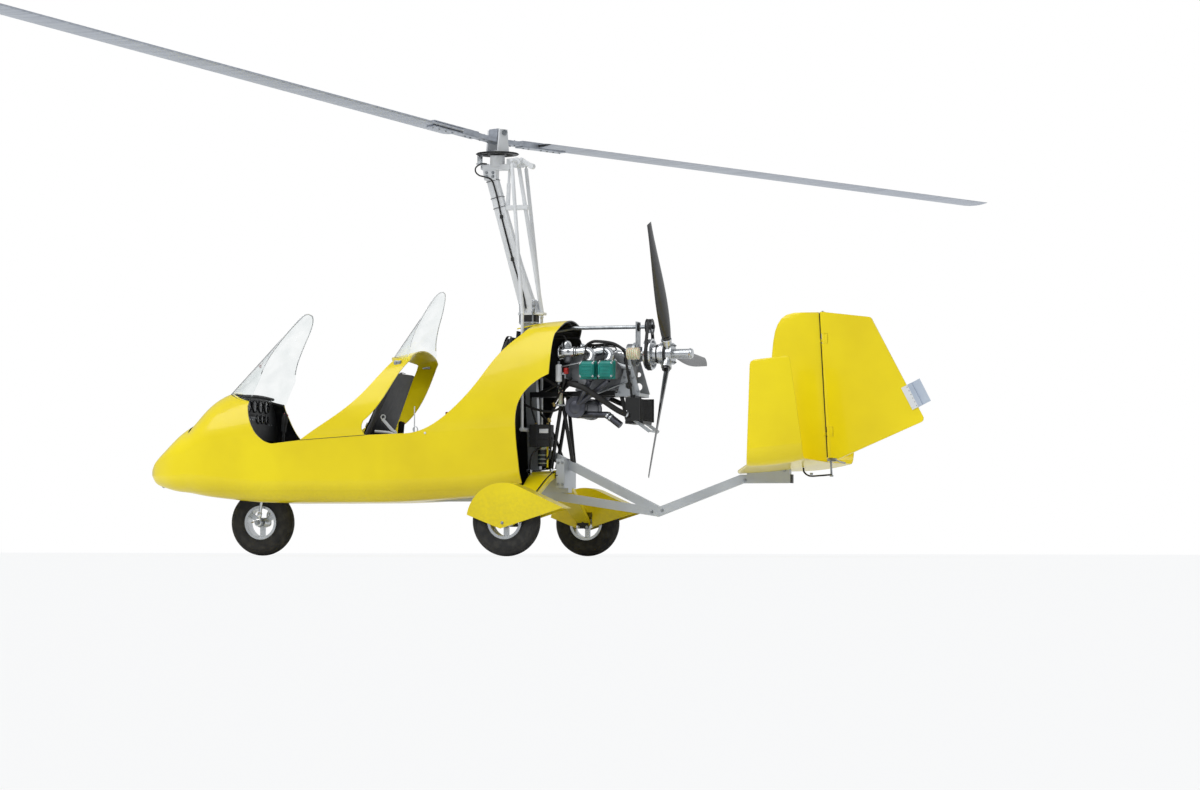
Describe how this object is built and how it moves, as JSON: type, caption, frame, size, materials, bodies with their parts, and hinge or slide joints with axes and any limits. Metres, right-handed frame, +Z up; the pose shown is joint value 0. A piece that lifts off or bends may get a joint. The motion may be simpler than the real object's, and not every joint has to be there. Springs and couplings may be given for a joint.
{
  "type": "gyrocopter",
  "caption": "Open-cockpit tandem autogyro with teetering rotor, pusher propeller, tail on a boom and wheels that roll and steer",
  "frame": {"origin": "On the floor under the middle of the bounding box, with the aircraft standing on its three wheels", "axes": "+X towards the nose, +Y to the left of an occupant, +Z up"},
  "size_m": [4.9058, 7.3739, 3.0048],
  "materials": {
    "pod_yellow": "glossy yellow gelcoat",
    "frame_silver": "silver paint",
    "mast_white": "satin white paint",
    "black_paint": "satin black paint",
    "steel": "plated steel",
    "alloy": "cast or machined alloy",
    "blade_grey": "grey extruded alloy",
    "tyre": "black tyre",
    "rubber": "black rubber",
    "upholstery": "black upholstery",
    "black_plastic": "matt black",
    "carbon": "glossy black composite",
    "clear_sheet": "clear sheet",
    "cover_teal": "teal paint",
    "exhaust": "heat-dulled steel"
  },
  "bodies": {
    "airframe": {"battery_box": "black_plastic", "cockpit_controls": "black_plastic", "control_rods": "mast_white", "diagonal_tube": "frame_silver", "engine_block": "alloy", "engine_cylinders": "alloy", "engine_mount": "frame_silver", "engine_rails": "black_paint", "engine_struts": "black_paint", "fin": "pod_yellow", "firewall": "black_paint", "gear_bow": "pod_yellow", "gear_saddle": "frame_silver", "instrument_panel": "black_plastic", "intake_pipes": "alloy", "keel_tube": "frame_silver", "lower_mast": "frame_silver", "main_axles": "steel", "mast": "mast_white", "mast_rubber_block": "rubber", "muffler": "exhaust", "nose_beam": "frame_silver", "nose_head_tube": "black_paint", "pod_belly": "pod_yellow", "pod_body": "pod_yellow", "pod_bow": "pod_yellow", "pre_rotator_belt": "rubber", "pre_rotator_shaft": "steel", "radiator": "black_paint", "rocker_covers": "cover_teal", "rotor_head": "black_paint", "seat_cushions": "upholstery", "seat_pans": "black_plastic", "stabiliser": "pod_yellow", "tail_boom": "frame_silver", "wheel_spats": "pod_yellow", "windscreen_front": "clear_sheet", "windscreen_rear": "clear_sheet"},
    "nose_fork": {"nose_fork": "steel", "nose_axle": "steel"},
    "nose_wheel": {"tyre_nose": "tyre", "rim_nose": "alloy"},
    "main_wheel_left": {"tyre_left": "tyre", "rim_left": "alloy"},
    "main_wheel_right": {"tyre_right": "tyre", "rim_right": "alloy"},
    "rotor": {"rotor_ring_gear": "steel", "rotor_tower": "alloy", "teeter_bolt": "steel"},
    "rotor_teeter": {"rotor_hub_bar": "blade_grey", "rotor_blade_left": "blade_grey", "rotor_blade_right": "blade_grey"},
    "propeller": {"prop_flange": "alloy", "prop_hub": "alloy", "prop_blades": "carbon"},
    "rudder": {"rudder": "pod_yellow", "trim_tab": "frame_silver"}
  },
  "joints": [
    {"name": "nose_steer", "type": "hinge", "parent": "airframe", "child": "nose_fork", "pos_m": [1.7, 0, 0.45], "axis": [0, 0, 1], "range_deg": [-25, 25]},
    {"name": "nose_wheel_spin", "type": "hinge", "parent": "nose_fork", "child": "nose_wheel", "pos_m": [1.7, 0, 0.2], "axis": [0, 1, 0], "continuous": true},
    {"name": "left_wheel_spin", "type": "hinge", "parent": "airframe", "child": "main_wheel_left", "pos_m": [-0.12, 0.785, 0.2], "axis": [0, 1, 0], "continuous": true},
    {"name": "right_wheel_spin", "type": "hinge", "parent": "airframe", "child": "main_wheel_right", "pos_m": [-0.12, -0.785, 0.2], "axis": [0, 1, 0], "continuous": true},
    {"name": "rotor_spin", "type": "hinge", "parent": "airframe", "child": "rotor", "pos_m": [0.207, 0, 2.4], "axis": [0, 0, 1], "continuous": true},
    {"name": "rotor_teeter", "type": "hinge", "parent": "rotor", "child": "rotor_teeter", "pos_m": [0.207, 0, 2.522], "axis": [-0.8616, 0.5075, 0], "range_deg": [-4, 12]},
    {"name": "propeller_spin", "type": "hinge", "parent": "airframe", "child": "propeller", "pos_m": [-0.855, 0, 1.187], "axis": [1, 0, 0], "continuous": true},
    {"name": "rudder_swing", "type": "hinge", "parent": "airframe", "child": "rudder", "pos_m": [-1.828, 0, 0.561], "axis": [0.0561, 0, 0.9984], "range_deg": [-25, 25]}
  ],
  "couplings": [
    {"joint": "rudder_swing", "follows": "nose_steer", "ratio": -1}
  ]
}
